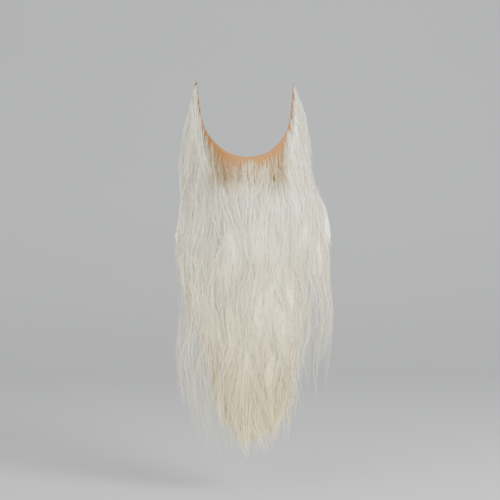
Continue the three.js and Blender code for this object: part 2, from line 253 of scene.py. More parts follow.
def net_surface(along, across):
    """Points on the net's inner face. along is -1 to 1, and across 0 to 1 from front to rear."""
    lines = []
    for rows in NET_LINES:
        points = np.array(rows, float)
        height = np.where(points[:, 2] > 0, SIDEBURN_HEIGHT, CHIN_DROP)
        points *= np.stack([np.full(8, FACE_HALF_WIDTH), np.full(8, JAW_DEPTH), height], -1)
        mirrored = points[:0:-1] * (-1, 1, 1)
        whole = np.concatenate([mirrored, points])[:, None].repeat(len(along), axis=1)
        lines.append(along_line(whole, (along + 1) / 2))
    return along_line(np.array(lines), across)


def net_point(along, across, out=0.0):
    """Points at a distance out from the net's inner face, and the directions out of it."""
    step = 0.004
    near, far = np.maximum(along - step, -1), np.minimum(along + step, 1)
    front, rear = np.maximum(across - step, 0), np.minimum(across + step, 1)
    lengthways = net_surface(far, across) - net_surface(near, across)
    crossways = net_surface(along, rear) - net_surface(along, front)
    normal = np.cross(crossways, lengthways)
    normal /= np.linalg.norm(normal, axis=-1, keepdims=True)
    return net_surface(along, across) + normal * np.asarray(out)[..., None], normal


print("front of the net's edge:", net_surface(np.zeros(1), np.zeros(1))[0].round(4))

# %% [markdown]
# ## Closed shapes from rings
#
# The net and the dense hair are both long and thin, so one helper makes them from rings of points,
# with a fan of triangles over each end. Its UV map holds lengths in metres, so that the finishes can
# draw threads and hairs at one size everywhere.


# %% Mesh helpers
def mesh_object(name, points, faces, uvs=None, edges=()):
    """A new object of points and faces. uvs has one pair for each corner of each face."""
    mesh = bpy.data.meshes.new(name)
    mesh.from_pydata(points, edges, faces)
    if uvs is not None:
        mesh.uv_layers.new(name="strand").data.foreach_set("uv", np.ravel(uvs))
    mesh.polygons.foreach_set("use_smooth", [True] * len(mesh.polygons))
    mesh.update()
    obj = bpy.data.objects.new(name, mesh)
    bpy.context.scene.collection.objects.link(obj)
    return obj


def closed_rings(rings, lengths, girths):
    """Faces and UVs for a loft through rings of points, with a fan of triangles over each end."""
    rows, sides = rings.shape[:2]
    points = np.concatenate([rings.reshape(-1, 3), [rings[0].mean(0), rings[-1].mean(0)]])
    faces, uvs = [], []
    for i in range(rows - 1):
        for j in range(sides):
            k = (j + 1) % sides
            faces.append((i * sides + j, i * sides + k, (i + 1) * sides + k, (i + 1) * sides + j))
            g, h = girths[i][j], girths[i][j + 1]
            uvs += [(g, lengths[i]), (h, lengths[i]), (h, lengths[i + 1]), (g, lengths[i + 1])]
    for j in range(sides):
        k = (j + 1) % sides
        end = (rows - 1) * sides
        faces += [(k, j, rows * sides), (end + j, end + k, rows * sides + 1)]
        uvs += [(girths[0][j], lengths[0])] * 3 + [(girths[-1][j], lengths[-1])] * 3
    return points, faces, uvs


print("mesh helpers are ready")

# %% [markdown]
# ## Making the net
#
# Two walls half a millimetre apart make the cloth, and their points form closed rings from one
# sideburn to the other. The holes of tulle are far finer than anything that could be modelled here,
# so they belong to the material.

# %% Net piece
NET_STATIONS, NET_RIBS = 181, 19
stations, ribs = np.linspace(-1, 1, NET_STATIONS), np.linspace(0, 1, NET_RIBS)
grid = np.meshgrid(stations, ribs, indexing="ij")
walls = [
    net_point(grid[0].ravel(), grid[1].ravel(), out)[0].reshape(NET_STATIONS, NET_RIBS, 3) for out in NET_WALL
]
rings = np.concatenate([walls[1], walls[0][:, ::-1]], axis=1)
middle = walls[1][:, NET_RIBS // 2]
lengths = np.concatenate([[0], np.cumsum(np.linalg.norm(np.diff(middle, axis=0), axis=1))])
widths = np.linalg.norm(np.diff(walls[1], axis=1), axis=2).sum(1)
across_net = np.outer(widths, np.concatenate([ribs, ribs[::-1], [0]]))
net = mesh_object("beard_net", *closed_rings(rings, lengths, across_net))

# %% [markdown]
# ## Where the hair grows and ends
#
# The hair starts along the net's front edge and sweeps up into the sideburns. The middle is dense
# and long. The sides thin out sooner, with a few long wisps left over, and the hair parts a little
# on the right. A second table says at each place across the curtain where half of the hair has
# ended, how gradually it fades and how far the longest wisps reach, as shares of the fall's length.

# %% Tables of the hair
HAIRLINE = curve_through(
    (0, 0.17, 0.33, 0.45, 0.55, 0.64, 0.72, 0.8, 0.88, 0.94, 1),
    (0.095, 0.075, 0.095, 0.165, 0.25, 0.33, 0.42, 0.56, 0.76, 0.93, 0.95),
)
FULLNESS = curve_through((0, 0.06, 0.14, 0.24, 0.36, 1), (0.16, 0.36, 0.62, 0.86, 1, 1))
DENSITY_COLUMNS = ("across", "half_dense", "fade", "longest")
DENSITY_ROWS = (
    (-1, 0.56, 0.62, 0.94),
    (-0.88, 0.58, 0.66, 0.97),
    (-0.77, 0.61, 0.6, 0.99),
    (-0.66, 0.65, 0.54, 0.985),
    (-0.55, 0.73, 0.48, 0.985),
    (-0.44, 0.84, 0.38, 0.985),
    (-0.33, 0.89, 0.3, 0.985),
    (0, 0.94, 0.19, 0.985),
    (0.3, 0.92, 0.22, 0.96),
    (0.42, 0.87, 0.35, 0.93),
    (0.52, 0.77, 0.42, 0.87),
    (0.61, 0.65, 0.48, 0.76),
    (0.68, 0.59, 0.54, 0.74),
    (0.75, 0.55, 0.6, 0.8),
    (0.82, 0.5, 0.55, 0.82),
    (0.89, 0.52, 0.56, 0.84),
    (1, 0.59, 0.6, 0.78),
)
half_dense, fade, longest = curves_of(DENSITY_COLUMNS, DENSITY_ROWS)
for across in (-0.8, 0.0, 0.8):
    print(f"at {across} across, half of the hair ends at {-FALL_LENGTH * half_dense(across):.3f} m")

# %% [markdown]
# ## How thick and dense the hair is
#
# The tables become one thickness and one density for each place, which the loose and the dense hair
# both read. The parting and the thin outer edges are too narrow for the table, so they are added.

# %% Thickness and density
PARTING_PLACES, PARTING_DEPTHS, PARTING_WIDTH = (0.66, 0.8), (0.42, 0.8), 0.09
EDGE_FADE = 0.5


def hair_start(across):
    """The height where the hair leaves the net at a place across the curtain."""
    return SIDEBURN_HEIGHT * HAIRLINE(np.abs(across))


def dense_end(across):
    """The height where the hair is thin enough to see through for the most part."""
    return -FALL_LENGTH * (half_dense(across) + 0.12 * fade(across))


def curtain_front(across, z, start):
    """Half of the hair's thickness at a place on the curtain."""
    full = FULLNESS(np.clip((start - z) / (start + FALL_LENGTH), 0, 1))
    return 0.5 * FALL_DEPTH * full * (1 - EDGE_THINNING * across**2)


def coverage(across, z):
    """How much of what lies behind it the hair hides, from 0 to 1."""
    faded = smoothstep((-z / FALL_LENGTH - half_dense(across)) / fade(across) + 0.5)
    parting = mix(*PARTING_PLACES, np.clip((-0.08 - z) / 0.22, 0, 1))
    depth = mix(*PARTING_DEPTHS, np.clip((-0.15 - z) / 0.07, 0, 1))
    parted = depth * np.exp(-(((across - parting) / PARTING_WIDTH) ** 2)) * smoothstep((-0.07 - z) / 0.1)
    edge = EDGE_FADE * smoothstep((np.abs(across) - 0.84) / 0.14) * smoothstep((-0.04 - z) / 0.14)
    return (1 - faded) * (1 - parted) * (1 - edge)


print("density in the parting:", round(float(coverage(PARTING_PLACES[1], -0.25)), 2))

# %% [markdown]
# ## Guides for the wisps
#
# Hair hangs in small wisps, and a guide is the middle line of one of them. Hair that is knotted near
# the front edge of the net lies on top, and hair from under the jaw lies behind. A guide leaves its
# knot outwards, bends over and settles into its layer of the curtain, with a slow wave of its own.

# %% One guide
ALONG_NET = (-1, -0.68, -0.3, 0.3, 0.68, 1)
ACROSS_FALL = (-1, -0.7, -0.34, 0.34, 0.7, 1)
OUTERMOST_LEFT, OUTERMOST_RIGHT = (0.935, 1.0), (0.95, 1.06)
POINT_SPACING = 0.0041
GUIDE_WAVE = 0.016
KNOT_LIFT, EDGE_LIFT, EDGE_LEAN = 0.003, 0.0015, 0.0035
RIGHT_SPREAD, RIGHT_SWELL = 0.05, 0.004
random = np.random.default_rng(7)


def guide(along, rooted, top, tip, layer, wide, lean=0.0, narrowing=0.0, bury=0.0, settle=0.05, full=1.0):
    """The middle line of one wisp, from the height top to the height tip, with its width and depth.

    rooted is its knot's place across the net, layer its depth in the curtain from -1 at the back to
    1 at the front, and lean its drift sideways for each metre that it falls. A wisp with top above
    its knot starts at the knot. bury is how deep its cut ends dive among the other hair.
    """
    root, normal = (v[0] for v in net_point(np.array([along]), np.array([rooted]), NET_WALL[1]))
    knotted = top >= root[2]
    top = min(top, root[2])
    rows = max(7, int((top - tip) / POINT_SPACING))
    t = np.linspace(0, 1, rows)
    z = mix(top, tip, t)
    fallen = root[2] - z
    across = np.interp(along, ALONG_NET, ACROSS_FALL)
    wave = np.sin(fallen / random.uniform(0.03, 0.06) + random.uniform(0, 6.3))
    line = across + GUIDE_WAVE * smoothstep(fallen / 0.1) * wave
    line = line + lean * ((z[0] if knotted else z.mean()) - z)
    raised = smoothstep((z + 0.04) / 0.06)
    on_right = raised * smoothstep((along - 0.6) / 0.3)
    line = line + RIGHT_SPREAD * on_right
    inset = 0.5 * wide / FALL_HALF_WIDTH
    line = np.clip(line, inset - mix(*OUTERMOST_LEFT, raised), mix(*OUTERMOST_RIGHT, raised) - inset)
    start = hair_start(across)
    front = curtain_front(line, np.minimum(z, start), start)
    sunk = bury * ((1 - t) ** 4 * (not knotted) + t**4)
    place, side, outwards = curtain(line, z, front * layer - sunk * np.sign(layer))
    place[:, 0] += RIGHT_SWELL * on_right
    at_edge = smoothstep((abs(along) - 0.55) / 0.2) * max(0, 1 - rooted / 0.35)
    lift = mix(KNOT_LIFT, EDGE_LIFT, at_edge) * (1 - np.exp(-fallen / 0.004))
    rising = root + normal * lift[:, None] - (0, EDGE_LEAN * at_edge, 0)
    settled = smoothstep(fallen / settle)[:, None]
    points = np.concatenate([mix(rising[:, :2], place[:, :2], settled), z[:, None]], 1)
    width = wide * mix(0.6, 1, smoothstep(fallen / 0.05)) * (1 - narrowing * smoothstep((t - 0.2) / 0.8))
    return {
        "points": points,
        "side": side,
        "out": outwards,
        "wide": width,
        "deep": 0.35 * width,
        "down": fallen,
        "full": np.full(rows, full),
    }


print("a guide has a point every", POINT_SPACING, "m, and is drawn with a fixed seed")

# %% [markdown]
# ## Wisps at the knots
#
# Most of a hair is buried among the others, so wisps are made only where they come to the surface:
# at the knots, in stretches down the fall, and at the tips. The wisps at the knots are short and
# fine. Each takes its place from its own small cell of the net, so that they are scattered but leave
# no bare patch.

# %% Wisps at the knots
ROOT_LENGTHS, ROOT_WIDTH = (0.025, 0.1), 0.0028
KNOTS_BACK = ((0.2, 0.3, 0.6, 0.9), (0.8, 1.2, 1.2, 1.7))


def spread(count, low, high):
    """Places from low to high, one in each of count equal cells, in a random order."""
    return random.permutation(mix(low, high, (np.arange(count) + random.uniform(0, 1, count)) / count))


def root_wisps(along_from, along_to, front, rear, count):
    """Fine wisps that start at their knots and lie over the hair below them."""
    wisps = []
    for along, rooted in zip(spread(count, along_from, along_to), spread(count, 0, 1)):
        near_chin = 1 - smoothstep((abs(along) - 0.3) / 0.2)
        beside_tuft = smoothstep((abs(along - 0.02) - 0.04) / 0.06) * near_chin
        rooted = mix(front + 0.035 * beside_tuft, rear, rooted ** np.interp(abs(along), *KNOTS_BACK))
        length = random.uniform(*ROOT_LENGTHS)
        height = net_point(np.array([along]), np.array([rooted]))[0][0, 2]
        disorder = mix(2.0, 0.7, smoothstep((abs(along) - 0.35) / 0.25))
        lean = random.normal(0, disorder) - 8 * along * (abs(along) < 0.32)
        layer = mix(1.1, 0.8, rooted)
        wisps.append(guide(along, rooted, 1.0, height - length, layer, ROOT_WIDTH, lean, 0.3, 0.003))
    return wisps


print("wisps at the knots are", ROOT_LENGTHS, "m long")

# %% [markdown]
# ## Wisps down the fall and at the tips
#
# Where the hair is thin there are fewer stretches down the fall, with fewer hairs in each. Long
# wisps run out to points below them, so that the beard has no hard lower edge.

# %% Wisps of the fall
SURFACE_LENGTHS, TIP_LENGTHS = (0.06, 0.13), (0.11, 0.2)
SURFACE_WIDTH, REAR_WIDTH = 0.006, 0.009


def surface_wisps(along_from, along_to, rooted, count, layers, wide=SURFACE_WIDTH):
    """Short stretches of wisps that come to the surface all the way down the fall."""
    wisps = []
    for along, lower in zip(spread(count, along_from, along_to), spread(count, 0, 1)):
        across = np.interp(along, ALONG_NET, ACROSS_FALL)
        middle = mix(hair_start(across) - 0.02, dense_end(across) + 0.03, lower)
        density = float(coverage(across, middle))
        if random.random() > density**1.6:
            continue
        length = random.uniform(*SURFACE_LENGTHS)
        layer = mix(*layers, random.uniform(0, 1))
        inwards = 5 * across * (abs(across) < 0.4) * smoothstep((middle + 0.1) / 0.06)
        lean = random.normal(0, 1.7) - inwards
        tip = max(middle - 0.5 * length, dense_end(across))
        full = mix(0.12, 1, density**2)
        top = middle + 0.5 * length
        wisps.append(guide(along, rooted, top, tip, layer, wide, lean, 0.2, 0.005, full=full))
    return wisps


def tip_wisps(along_from, along_to, rooted, count, layers, wide):
    """The lower part of long wisps, which run out to a point. Some are longer than the rest."""
    wisps = []
    for along in spread(count, along_from, along_to):
        across = np.interp(along, ALONG_NET, ACROSS_FALL)
        tip = mix(-FALL_LENGTH * half_dense(across), -FALL_LENGTH * longest(across), random.uniform(0, 1))
        layer = mix(*layers, random.uniform(0, 1))
        top = tip + random.uniform(*TIP_LENGTHS)
        wisps.append(guide(along, rooted, top, tip, layer, wide, random.normal(0, 0.6), 0.3, 0.004))
    return wisps


print("wisps down the fall are", SURFACE_LENGTHS, "m long, and at the tips", TIP_LENGTHS, "m")

# %% [markdown]
# ## Wisps of each bundle
#
# A bundle is a stretch of the net: its two ends along the net, and its knots' places across it. The
# chin shows its roots the most, so it gets the most wisps there.

# %% Wisps of each bundle
BUNDLES = {
    "chin_fall": (-0.3, 0.3, 0.04, 0.42),
    "jaw_fall_left": (-0.68, -0.3, 0.0, 0.6),
    "jaw_fall_right": (0.3, 0.68, 0.0, 0.6),
    "sideburn_fall_left": (-1, -0.68, 0.0, 0.9),
    "sideburn_fall_right": (0.68, 1, 0.0, 0.9),
}
WISPS_AT_KNOTS, WISPS_AT_CHIN_KNOTS = 95, 150
WISPS_IN_FRONT, WISPS_AT_REAR = 76, 10
loose_wisps = {}
for name, (along_from, along_to, front, rear) in BUNDLES.items():
    at_chin = name == "chin_fall"
    knots = WISPS_AT_CHIN_KNOTS if at_chin else WISPS_AT_KNOTS
    roots = root_wisps(along_from, along_to, front, rear, knots)
    surface = surface_wisps(along_from, along_to, front + 0.1, WISPS_IN_FRONT, (0.7, 1.1))
    surface += surface_wisps(along_from, along_to, 0.8, WISPS_AT_REAR, (-1.1, -0.8), REAR_WIDTH)
    count, wide = (18, 0.01) if at_chin else (14, 0.014)
    tips = tip_wisps(along_from, along_to, front + 0.1, count, (0.2, 1), wide)
    tips += tip_wisps(along_from, along_to, 0.8, 3, (-1, -0.5), wide)
    loose_wisps[name] = (roots, surface, tips)
    print(f"{name}: {len(roots)} wisps at the knots, {len(surface)} down the fall, {len(tips)} at the tips")

# %% [markdown]
# ## Making nodes in code
#
# Geometry Nodes and materials are both trees of nodes. These helpers make one node with its settings
# and its inputs in one line, so that a tree reads from top to bottom like the steps that it takes.


# %% Node helpers
def add_node(tree, kind, settings=(), **inputs):
    """A node with its settings, and inputs that are values or other nodes' outputs."""
    node = tree.nodes.new(kind)
    for key, value in dict(settings).items():
        setattr(node, key, value)
    for key, value in inputs.items():
        numbered = key[0] == "i" and key[1:].isdigit()
        socket = node.inputs[int(key[1:]) if numbered else key.replace("_", " ")]
        if isinstance(value, bpy.types.NodeSocket):
            tree.links.new(value, socket)
        else:
            socket.default_value = value
    return node


def in_order(values):
    return {f"i{k}": value for k, value in enumerate(values)}


def maths(tree, operation, *values):
    return add_node(tree, "ShaderNodeMath", {"operation": operation}, **in_order(values)).outputs[0]


def vectors(tree, operation, *values):
    return add_node(tree, "ShaderNodeVectorMath", {"operation": operation}, **in_order(values)).outputs[0]


def scaled(tree, vector, factor):
    return add_node(tree, "ShaderNodeVectorMath", {"operation": "SCALE"}, i0=vector, Scale=factor).outputs[0]


def named(tree, name, kind="FLOAT"):
    return add_node(tree, "GeometryNodeInputNamedAttribute", {"data_type": kind}, Name=name).outputs[0]


print("node helpers are ready")

# %% [markdown]
# ## Combing hairs along the guides
#
# Thousands of hairs can't be drawn by hand, and hair particles aren't meshes that could be exported.
# So Geometry Nodes comb them: each guide is doubled many times, each copy is moved to its own place
# in the wisp, crimped and left to stray a little, and cut to its own length. Then it gets a body
# with three sides, which is thin at both ends.

# %% Inputs of the comb
COMB_INPUTS = (
    ("Hairs in a wisp", "NodeSocketInt", 15),
    ("Hair radius", "NodeSocketFloat", 0.00021),
    ("Spread", "NodeSocketFloat", 1.0),
    ("Crimp depth", "NodeSocketFloat", 0.0062),
    ("Crimp length", "NodeSocketFloat", 0.0045),
    ("Stray", "NodeSocketFloat", 0.010),
    ("Latest start", "NodeSocketFloat", 0.2),
    ("Shortest", "NodeSocketFloat", 0.72),
    ("Seed", "NodeSocketInt", 1),
    ("Finish", "NodeSocketMaterial", None),
)
comb = bpy.data.node_groups.new("comb_hairs", "GeometryNodeTree")
comb.interface.new_socket("Guides", in_out="INPUT", socket_type="NodeSocketGeometry")
for label, kind, value in COMB_INPUTS:
    socket = comb.interface.new_socket(label, in_out="INPUT", socket_type=kind)
    if value is not None:
        socket.default_value = value
comb.interface.new_socket("Hairs", in_out="OUTPUT", socket_type="NodeSocketGeometry")
print("inputs of the comb:", ", ".join(label for label, _, _ in COMB_INPUTS))

# %% [markdown]
# ## Hairs in a wisp
#
# Each guide is doubled, and every copy keeps three random numbers. Two of them place the hair in the
# wisp, and all three give it a character of its own further on.

# %% Copies of the guides
given = comb.nodes.new("NodeGroupInput").outputs
lines = add_node(comb, "GeometryNodeMeshToCurve", Mesh=given["Guides"]).outputs[0]
hairs = maths(comb, "ADD", maths(comb, "MULTIPLY", given["Hairs in a wisp"], named(comb, "full")), 0.5)
copies = add_node(
    comb, "GeometryNodeDuplicateElements", {"domain": "SPLINE"}, Geometry=lines, Amount=hairs
).outputs[0]
chance = add_node(
    comb, "FunctionNodeRandomValue", {"data_type": "FLOAT_VECTOR"},
    i0=(-1, -1, -1), i1=(1, 1, 1), Seed=given["Seed"],
).outputs[0]
marked = add_node(
    comb, "GeometryNodeStoreNamedAttribute", {"domain": "CURVE", "data_type": "FLOAT_VECTOR"},
    Geometry=copies, Name="hair", Value=chance,
).outputs[0]
hair = add_node(comb, "ShaderNodeSeparateXYZ", i0=named(comb, "hair", "FLOAT_VECTOR")).outputs
down, wisp = named(comb, "down"), named(comb, "wisp")
aside = maths(comb, "MULTIPLY", named(comb, "wide"), hair[0])
inwards = maths(comb, "MULTIPLY", named(comb, "deep"), hair[1])
across_wisp = scaled(comb, named(comb, "side", "FLOAT_VECTOR"), aside)
through_wisp = scaled(comb, named(comb, "out", "FLOAT_VECTOR"), inwards)
placed = scaled(comb, vectors(comb, "ADD", across_wisp, through_wisp), given["Spread"])
print("copies are placed with", len(comb.nodes), "nodes")

# %% [markdown]
# ## Crimp and stray
#
# Costume hair is crimped by the braids it was packed in. Neighbouring hairs share most of a slow
# wave but only part of the crimp, so that a wisp stays together without looking like a comb.


# %% Crimp, tangle and stray
def wander(phase, length, depth, ease):
    """A smooth random movement along a hair: its phase, wave length, depth, and start."""
    where = add_node(
        comb, "ShaderNodeCombineXYZ", i0=phase, i1=maths(comb, "DIVIDE", down, length), i2=wisp
    ).outputs[0]
    noise = add_node(
        comb, "ShaderNodeTexNoise", Vector=where, Scale=1.0, Detail=1.0, Roughness=0.5
    ).outputs["Color"]
    rise = maths(comb, "MINIMUM", maths(comb, "DIVIDE", down, ease), 1.0)
    centred = vectors(comb, "SUBTRACT", noise, (0.5, 0.5, 0.5))
    return scaled(comb, centred, maths(comb, "MULTIPLY", rise, depth))


crimp = wander(maths(comb, "MULTIPLY", hair[2], 2.2), given["Crimp length"], given["Crimp depth"], 0.03)
half_stray = maths(comb, "MULTIPLY", given["Stray"], 0.5)
tangle = wander(maths(comb, "MULTIPLY", hair[1], 5.0), 0.045, half_stray, 0.05)
stray = wander(maths(comb, "MULTIPLY", hair[0], 7.0), 0.12, given["Stray"], 0.08)
moved = add_node(
    comb, "GeometryNodeSetPosition", Geometry=marked,
    Offset=vectors(comb, "ADD", vectors(comb, "ADD", placed, tangle), vectors(comb, "ADD", crimp, stray)),
).outputs[0]
print("comb_hairs places its hairs with", len(comb.nodes), "nodes")

# %% [markdown]
# ## Cutting the hairs and giving them a body
#
# Each hair starts and ends at its own place, which keeps a wisp from looking like a brush. Hair
# tapers to its tip, and at the knot it is drawn thin, so that the net shows between the roots.

# %% The rest of the node group
cut = add_node(
    comb, "FunctionNodeRandomValue", {"data_type": "FLOAT"},
    i2=given["Shortest"], i3=1.0, Seed=maths(comb, "ADD", given["Seed"], 11.0),
).outputs[1]
start = add_node(
    comb, "FunctionNodeRandomValue", {"data_type": "FLOAT"},
    i2=0.0, i3=given["Latest start"], Seed=maths(comb, "ADD", given["Seed"], 23.0),
).outputs[1]
trimmed = add_node(comb, "GeometryNodeTrimCurve", Curve=moved, i2=start, i3=cut).outputs[0]
place = comb.nodes.new("GeometryNodeSplineParameter").outputs["Factor"]
from_middle = maths(comb, "ABSOLUTE", maths(comb, "SUBTRACT", maths(comb, "MULTIPLY", place, 2.0), 1.0))
ends = maths(comb, "MULTIPLY", maths(comb, "POWER", from_middle, 3.0), 0.75)
at_knot = maths(comb, "MINIMUM", maths(comb, "ADD", maths(comb, "DIVIDE", down, 0.035), 0.35), 1.0)
taper = maths(comb, "MULTIPLY", maths(comb, "SUBTRACT", 1.0, ends), at_knot)
stoutness = maths(comb, "ADD", 1.0, maths(comb, "MULTIPLY", hair[2], maths(comb, "ABSOLUTE", hair[1])))
section = add_node(comb, "GeometryNodeCurvePrimitiveCircle", Resolution=3, Radius=1.0).outputs[0]
solid = add_node(
    comb, "GeometryNodeCurveToMesh", Curve=trimmed, Profile_Curve=section, Fill_Caps=True,
    Scale=maths(comb, "MULTIPLY", given["Hair radius"], maths(comb, "MULTIPLY", taper, stoutness)),
).outputs[0]
smooth = add_node(comb, "GeometryNodeSetShadeSmooth", Geometry=solid).outputs[0]
real = add_node(comb, "GeometryNodeRealizeInstances", Geometry=smooth).outputs[0]
finished = add_node(comb, "GeometryNodeSetMaterial", Geometry=real, Material=given["Finish"]).outputs[0]
comb.links.new(finished, comb.nodes.new("NodeGroupOutput").inputs[0])
print("comb_hairs:", len(comb.nodes), "nodes")

# %% [markdown]
# ## From guides to a mesh
#
# The guides of one piece become one object of edges, whose points carry what the comb needs to know.
# The combed result is kept as a plain mesh, so that the piece no longer depends on the modifier.

# %% Guides as edges, and hairs from them
NUMBER_MARKS, DIRECTION_MARKS = ("wide", "deep", "down", "full"), ("side", "out")


def guide_object(name, wisps):
    counts = [len(w["points"]) for w in wisps]
    starts = np.cumsum([0, *counts[:-1]])
    edges = [(s + k, s + k + 1) for s, n in zip(starts, counts) for k in range(n - 1)]
    obj = mesh_object(name, np.concatenate([w["points"] for w in wisps]), [], edges=edges)
    marks = {key: np.concatenate([w[key] for w in wisps]) for key in NUMBER_MARKS}
    marks["wisp"] = np.concatenate([np.full(n, 3.7 * i) for i, n in enumerate(counts)])
    for key, values in marks.items():
        obj.data.attributes.new(key, "FLOAT", "POINT").data.foreach_set("value", values)
    for key in DIRECTION_MARKS:
        values = np.concatenate([w[key] for w in wisps])
        obj.data.attributes.new(key, "FLOAT_VECTOR", "POINT").data.foreach_set("vector", values.ravel())
    return obj


def triangles_of(mesh):
    return sum(len(p.vertices) - 2 for p in mesh.polygons)


def combed(name, wisps, finish, **values):
    """Combs hairs along guides and returns them as one plain mesh object."""
    obj = guide_object(name, wisps)
    modifier = obj.modifiers.new("comb", "NODES")
    modifier.node_group = comb
    sockets = {item.name: item.identifier for item in comb.interface.items_tree if item.in_out == "INPUT"}
    modifier[sockets["Finish"]] = finish
    for key, value in values.items():
        modifier[sockets[key.replace("_", " ")]] = value
    evaluated = obj.evaluated_get(bpy.context.evaluated_depsgraph_get())
    mesh = bpy.data.meshes.new_from_object(evaluated)
    obj.modifiers.remove(modifier)
    obj.data = mesh
    for key in ("wide", "deep", "full", *DIRECTION_MARKS):
        if key in mesh.attributes:
            mesh.attributes.remove(mesh.attributes[key])
    mesh.name = name
    print(f"{name}: {triangles_of(mesh)} triangles")
    return obj


print("marks on each guide:", ", ".join((*NUMBER_MARKS, "wisp", *DIRECTION_MARKS)))

# %% [markdown]
# ## The dense hair
#
# Behind the loose hairs a beard is a dense mass, and single hairs for all of it would be far too
# many. Each bundle gets one closed body instead: two walls that follow the curtain, with soft ridges
# where wisps lie side by side. A point attribute says how dense the hair is at each place, and the
# finish uses it to thin the body out towards its edges.

# %% Dense bodies
BODY_COLUMNS, BODY_ROWS = 32, 96
RIDGE_HEIGHT = 0.22


def ridges(across, z):
    """How far the dense hair stands out in soft wisps, from -1 to 1."""
    bend = 2.5 * np.sin(17 * z + 3 * across) + 1.6 * np.sin(41 * z - 5 * across)
    return 0.6 * np.sin(47 * across + bend) + 0.4 * np.sin(83 * across - 1.7 * bend)


def mass(across_from, across_to, lowest=1.0, layers=(0.62, -0.62)):
    """The dense middle of a bundle: two walls that follow the curtain and meet at its edges."""
    a = np.linspace(across_from, across_to, BODY_COLUMNS)
    start = hair_start(a) - 0.016 - 0.006 * np.exp(-(((np.abs(a) - 0.42) / 0.14) ** 2))
    start = start + 0.016 * smoothstep((np.abs(a) - 0.5) / 0.25)
    t = np.linspace(0, 1, BODY_ROWS)[:, None]
    z = mix(start, lowest * dense_end(a), t)
    a = np.broadcast_to(a, z.shape)
    half = curtain_front(a, z, start) * (1 - 0.9 * smoothstep((t - 0.7) / 0.3))
    middle, front = 0.5 * (layers[0] + layers[1]), 0.5 * (layers[0] - layers[1])
    relief = 1 + RIDGE_HEIGHT * ridges(a, z)
    walls = [curtain(a, z, half * (middle + s * front * relief))[0] for s in (1, -1)]
    rings = np.concatenate([walls[0], walls[1][:, ::-1]], axis=1)
    dense = np.clip((coverage(a, z) - 0.3) / 0.7, 0, 1) ** 4
    dense = dense * smoothstep((start - z) / 0.05) * (1 - smoothstep((t - 0.88) / 0.12))
    girths = np.concatenate([walls[0][..., 0], walls[1][:, ::-1, 0] + 0.3, walls[0][:, :1, 0]], axis=1)
    return rings, float(start.max()) - z[:, 0], girths, np.concatenate([dense, dense[:, ::-1]], axis=1)


def body(name, rings, lengths, girths, cover):
    """A closed body from a mass, with its density as the point attribute cover."""
    obj = mesh_object(name, *closed_rings(rings, lengths, girths))
    covers = np.append(cover.ravel(), [0, 0])
    obj.data.attributes.new("cover", "FLOAT", "POINT").data.foreach_set("value", covers)
    print(f"{name}: {triangles_of(obj.data)} triangles")
    return obj


print("a dense body has", BODY_COLUMNS, "columns and", BODY_ROWS, "rows on each wall")

# %% [markdown]
# ## Helpers for finishes
#
# A finish is a tree of shader nodes round one main shader. These helpers start such a tree and make
# the steps that come back in all of them: a ramp of colours, a mix and a soft step.


# %% Shader helpers
def new_finish(name):
    material = bpy.data.materials.new(name)
    material.use_nodes = True
    tree = material.node_tree
    tree.nodes.clear()
    shader = tree.nodes.new("ShaderNodeBsdfPrincipled")
    output = tree.nodes.new("ShaderNodeOutputMaterial")
    tree.links.new(shader.outputs[0], output.inputs["Surface"])
    return material, tree, shader


def ramp(tree, factor, *stops):
    node = add_node(tree, "ShaderNodeValToRGB", Fac=factor)
    elements = node.color_ramp.elements
    while len(elements) < len(stops):
        elements.new(0.5)
    for element, (position, colour) in zip(elements, stops):
        element.position = position
        element.color = (*colour, 1)
    return node.outputs[0]


def blend(tree, mode, factor, a, b):
    settings = {"data_type": "RGBA", "blend_type": mode}
    return add_node(tree, "ShaderNodeMix", settings, i0=factor, i6=a, i7=b).outputs[2]


def fades(tree, value, low, high):
    """1 where value is below low, 0 above high."""
    settings = {"interpolation_type": "SMOOTHSTEP"}
    return add_node(
        tree, "ShaderNodeMapRange", settings, i0=value, i1=low, i2=high, i3=1.0, i4=0.0
    ).outputs[0]


print("shader helpers are ready")

# %% [markdown]
# ## Tints and painted shade of the hair
#
# White hair isn't one white. It is cream near the tips, where it yellows with wear, and between the
# thin roots on the chin the skin-coloured net shows and tints it. The hollows beside the chin lie in
# shade, which is painted into the colour as a darker tint. The two tints and this painted shade are
# laid over the hair by its height and by its distance from the middle, for loose and dense hair alike.

# %% Tints and painted shade of the hair
LOW_TINT = (0.93, 0.865, 0.67, 1)
ROOT_TINT = (0.79, 0.57, 0.24, 1)
HOLLOW_PAINTED_SHADE = (0.68, 0.61, 0.5, 1)
CHIN_MIDDLE, HOLLOW_PLACE = 0.002, 0.04


